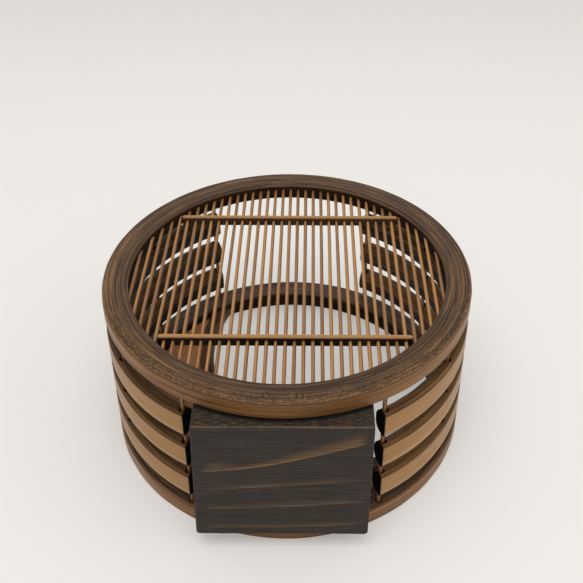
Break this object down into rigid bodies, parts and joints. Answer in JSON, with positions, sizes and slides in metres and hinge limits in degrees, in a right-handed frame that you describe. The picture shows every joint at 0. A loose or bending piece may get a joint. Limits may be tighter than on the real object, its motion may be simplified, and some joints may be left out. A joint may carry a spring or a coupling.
{
  "type": "ikebana basket",
  "caption": "Drum-shaped bamboo flower basket with two rings, bent side slats on upright rods, a stick grille, a wide mouth, an off-centre round window and a wooden base block.",
  "frame": {"origin": "on the floor plane under the middle of the outline, base block included, with the drum lying on its front ring", "axes": "+Z along the drum's axis from its front ring to its rear ring, +Y from the base block towards the mouth, +X to the right as seen from the base block's side"},
  "size_m": [0.24, 0.2454, 0.1176],
  "materials": {
    "rear_ring": "dark stained laminated bamboo, worn, satin",
    "front_ring": "stained laminated bamboo, satin",
    "stick": "varnished bamboo, satin",
    "batten": "bamboo skin on top, dark sides, satin",
    "slat": "bent half-round bamboo, satin",
    "rod": "varnished bamboo, satin",
    "base_block": "charcoal-stained wood with light streaks, matt",
    "peg": "bamboo peg, satin",
    "window_strip": "dark stained bamboo, satin",
    "crescent_panel": "finely woven reddish bamboo, matt"
  },
  "bodies": {
    "root": {"rear_ring": "rear_ring", "front_ring": "front_ring", "base_block": "base_block", "window_strip": "window_strip", "crescent_panel": "crescent_panel", "batten_mouth_side": "batten", "batten_base_side": "batten", "ring_peg_left": "peg", "ring_peg_right": "peg", "slat_right_01": "slat", "slat_right_02": "slat", "slat_right_03": "slat", "rod_right_01": "rod", "rod_right_02": "rod", "rod_right_03": "rod", "rod_right_04": "rod", "slat_left_01": "slat", "slat_left_02": "slat", "slat_left_03": "slat", "rod_left_01": "rod", "rod_left_02": "rod", "rod_left_03": "rod", "rod_left_04": "rod", "grille_stick_01": "stick", "grille_stick_02": "stick", "grille_stick_03": "stick", "grille_stick_04": "stick", "grille_stick_05": "stick", "grille_stick_06": "stick", "grille_stick_07": "stick", "grille_stick_08": "stick", "grille_stick_09": "stick", "grille_stick_10": "stick", "grille_stick_11": "stick", "grille_stick_12": "stick", "grille_stick_13": "stick", "grille_stick_14": "stick", "grille_stick_15": "stick", "grille_stick_16": "stick", "grille_stick_17": "stick", "grille_stick_18": "stick", "grille_stick_19": "stick", "grille_stick_20": "stick", "grille_stick_21": "stick", "grille_stick_22": "stick", "grille_stick_23": "stick", "grille_stick_24": "stick", "grille_stick_25": "stick", "grille_stick_26": "stick", "grille_stick_27": "stick", "grille_stick_28": "stick", "grille_stick_29": "stick", "grille_stick_30": "stick", "grille_stick_31": "stick", "grille_stick_32": "stick", "grille_stick_33": "stick", "grille_stick_34": "stick", "grille_stick_35": "stick", "grille_stick_36": "stick", "grille_stick_37": "stick"}
  },
  "joints": []
}
